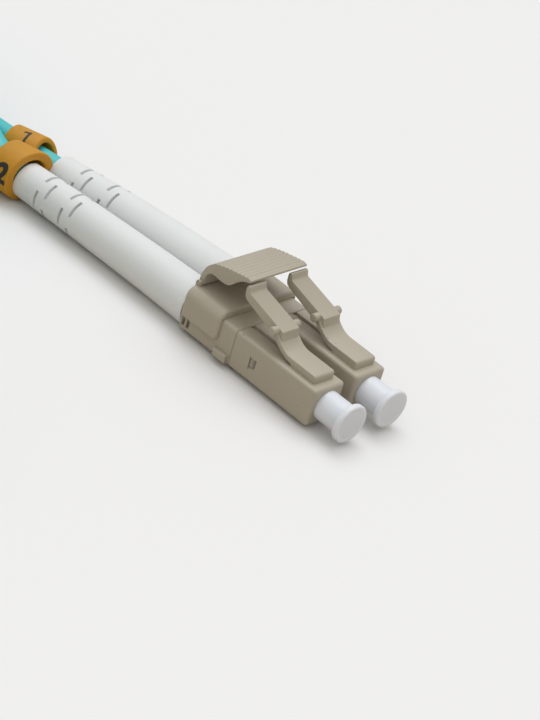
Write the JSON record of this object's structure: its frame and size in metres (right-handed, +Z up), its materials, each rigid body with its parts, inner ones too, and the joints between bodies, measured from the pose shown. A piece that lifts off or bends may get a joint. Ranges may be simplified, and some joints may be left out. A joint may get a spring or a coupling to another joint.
{
  "type": "lc duplex fibre patch cord",
  "caption": "Duplex LC fibre connector with clip and trigger, bend-relief boots, dust caps, marker rings and two aqua cords to a matching connector.",
  "frame": {"origin": "bottom centre of the near connector's box (plugs, clip, boots and dust caps, without the cords)", "axes": "+Z up from the table, Y along the plugs with the plug faces towards -Y, X across the two plugs"},
  "size_m": [0.061, 0.1028, 0.012],
  "materials": {
    "housing_plastic": "fine moulded satin",
    "boot_rubber": "satin",
    "cap_plastic": "satin, slightly translucent",
    "marker_plastic": "satin with printed numbers",
    "cord_jacket": "satin extruded jacket",
    "ferrule_ceramic": "polished",
    "holder_metal": "turned",
    "spring_steel": "drawn wire",
    "rear_body_plastic": "moulded",
    "crimp_metal": "drawn, plated"
  },
  "bodies": {
    "connector": {"plug_1": "housing_plastic", "rear_body_1": "rear_body_plastic", "crimp_sleeve_1": "crimp_metal", "boot_1": "boot_rubber", "plug_2": "housing_plastic", "rear_body_2": "rear_body_plastic", "crimp_sleeve_2": "crimp_metal", "boot_2": "boot_rubber", "clip_base": "housing_plastic", "clip_cover": "housing_plastic", "far_plug_1": "housing_plastic", "far_rear_body_1": "rear_body_plastic", "far_crimp_sleeve_1": "crimp_metal", "far_boot_1": "boot_rubber", "far_plug_2": "housing_plastic", "far_rear_body_2": "rear_body_plastic", "far_crimp_sleeve_2": "crimp_metal", "far_boot_2": "boot_rubber", "far_clip_base": "housing_plastic", "far_clip_cover": "housing_plastic", "marker_1": "marker_plastic", "marker_2": "marker_plastic", "far_marker_1": "marker_plastic", "far_marker_2": "marker_plastic", "cord_1": "cord_jacket", "cord_1_coil": "cord_jacket", "cord_1_tail": "cord_jacket", "cord_2": "cord_jacket", "cord_2_coil": "cord_jacket", "cord_2_tail": "cord_jacket"},
    "latch_1": {"latch_1": "housing_plastic"},
    "ferrule_1": {"ferrule_1": "ferrule_ceramic", "ferrule_holder_1": "holder_metal", "spring_1": "spring_steel"},
    "cap_1": {"dust_cap_1": "cap_plastic"},
    "latch_2": {"latch_2": "housing_plastic"},
    "ferrule_2": {"ferrule_2": "ferrule_ceramic", "ferrule_holder_2": "holder_metal", "spring_2": "spring_steel"},
    "cap_2": {"dust_cap_2": "cap_plastic"},
    "trigger": {"trigger": "housing_plastic"},
    "far_latch_1": {"far_latch_1": "housing_plastic"},
    "far_ferrule_1": {"far_ferrule_1": "ferrule_ceramic", "far_ferrule_holder_1": "holder_metal", "far_spring_1": "spring_steel"},
    "far_cap_1": {"far_dust_cap_1": "cap_plastic"},
    "far_latch_2": {"far_latch_2": "housing_plastic"},
    "far_ferrule_2": {"far_ferrule_2": "ferrule_ceramic", "far_ferrule_holder_2": "holder_metal", "far_spring_2": "spring_steel"},
    "far_cap_2": {"far_dust_cap_2": "cap_plastic"},
    "far_trigger": {"far_trigger": "housing_plastic"}
  },
  "joints": [
    {"name": "latch_flex_1", "type": "hinge", "parent": "connector", "child": "latch_1", "pos_m": [0.00339, -0.01633, 0.00539], "axis": [-1, 0, 0], "range_deg": [0, 10.2], "stiffness_Nm_per_rad": 0.004},
    {"name": "ferrule_travel_1", "type": "slide", "parent": "connector", "child": "ferrule_1", "axis": [0, 1, 0], "range_m": [0, 0.0008], "stiffness_N_per_m": 1500, "springref_m": -0.003, "deforming": ["spring_1"]},
    {"name": "cap_pull_1", "type": "slide", "parent": "connector", "child": "cap_1", "axis": [0, -1, 0], "range_m": [0, 0.008]},
    {"name": "latch_flex_2", "type": "hinge", "parent": "connector", "child": "latch_2", "pos_m": [-0.00286, -0.01633, 0.00539], "axis": [-1, 0, 0], "range_deg": [0, 10.2], "stiffness_Nm_per_rad": 0.004},
    {"name": "ferrule_travel_2", "type": "slide", "parent": "connector", "child": "ferrule_2", "axis": [0, 1, 0], "range_m": [0, 0.0008], "stiffness_N_per_m": 1500, "springref_m": -0.003, "deforming": ["spring_2"]},
    {"name": "cap_pull_2", "type": "slide", "parent": "connector", "child": "cap_2", "axis": [0, -1, 0], "range_m": [0, 0.008]},
    {"name": "trigger_flex", "type": "hinge", "parent": "connector", "child": "trigger", "pos_m": [0.00026, -0.00211, 0.00608], "axis": [1, 0, 0], "range_deg": [0, 12], "stiffness_Nm_per_rad": 0.004},
    {"name": "far_latch_flex_1", "type": "hinge", "parent": "connector", "child": "far_latch_1", "pos_m": [-0.04461, -0.00333, 0.00539], "axis": [-1, 0, 0], "range_deg": [0, 10.2], "stiffness_Nm_per_rad": 0.004},
    {"name": "far_ferrule_travel_1", "type": "slide", "parent": "connector", "child": "far_ferrule_1", "axis": [0, 1, 0], "range_m": [0, 0.0008], "stiffness_N_per_m": 1500, "springref_m": -0.003, "deforming": ["far_spring_1"]},
    {"name": "far_cap_pull_1", "type": "slide", "parent": "connector", "child": "far_cap_1", "axis": [0, -1, 0], "range_m": [0, 0.008]},
    {"name": "far_latch_flex_2", "type": "hinge", "parent": "connector", "child": "far_latch_2", "pos_m": [-0.05086, -0.00333, 0.00539], "axis": [-1, 0, 0], "range_deg": [0, 10.2], "stiffness_Nm_per_rad": 0.004},
    {"name": "far_ferrule_travel_2", "type": "slide", "parent": "connector", "child": "far_ferrule_2", "axis": [0, 1, 0], "range_m": [0, 0.0008], "stiffness_N_per_m": 1500, "springref_m": -0.003, "deforming": ["far_spring_2"]},
    {"name": "far_cap_pull_2", "type": "slide", "parent": "connector", "child": "far_cap_2", "axis": [0, -1, 0], "range_m": [0, 0.008]},
    {"name": "far_trigger_flex", "type": "hinge", "parent": "connector", "child": "far_trigger", "pos_m": [-0.04774, 0.0109, 0.00608], "axis": [1, 0, 0], "range_deg": [0, 12], "stiffness_Nm_per_rad": 0.004}
  ],
  "couplings": [
    {"joint": "latch_flex_1", "follows": "trigger_flex", "ratio": 0.85},
    {"joint": "latch_flex_2", "follows": "trigger_flex", "ratio": 0.85},
    {"joint": "far_latch_flex_1", "follows": "far_trigger_flex", "ratio": 0.85},
    {"joint": "far_latch_flex_2", "follows": "far_trigger_flex", "ratio": 0.85}
  ]
}
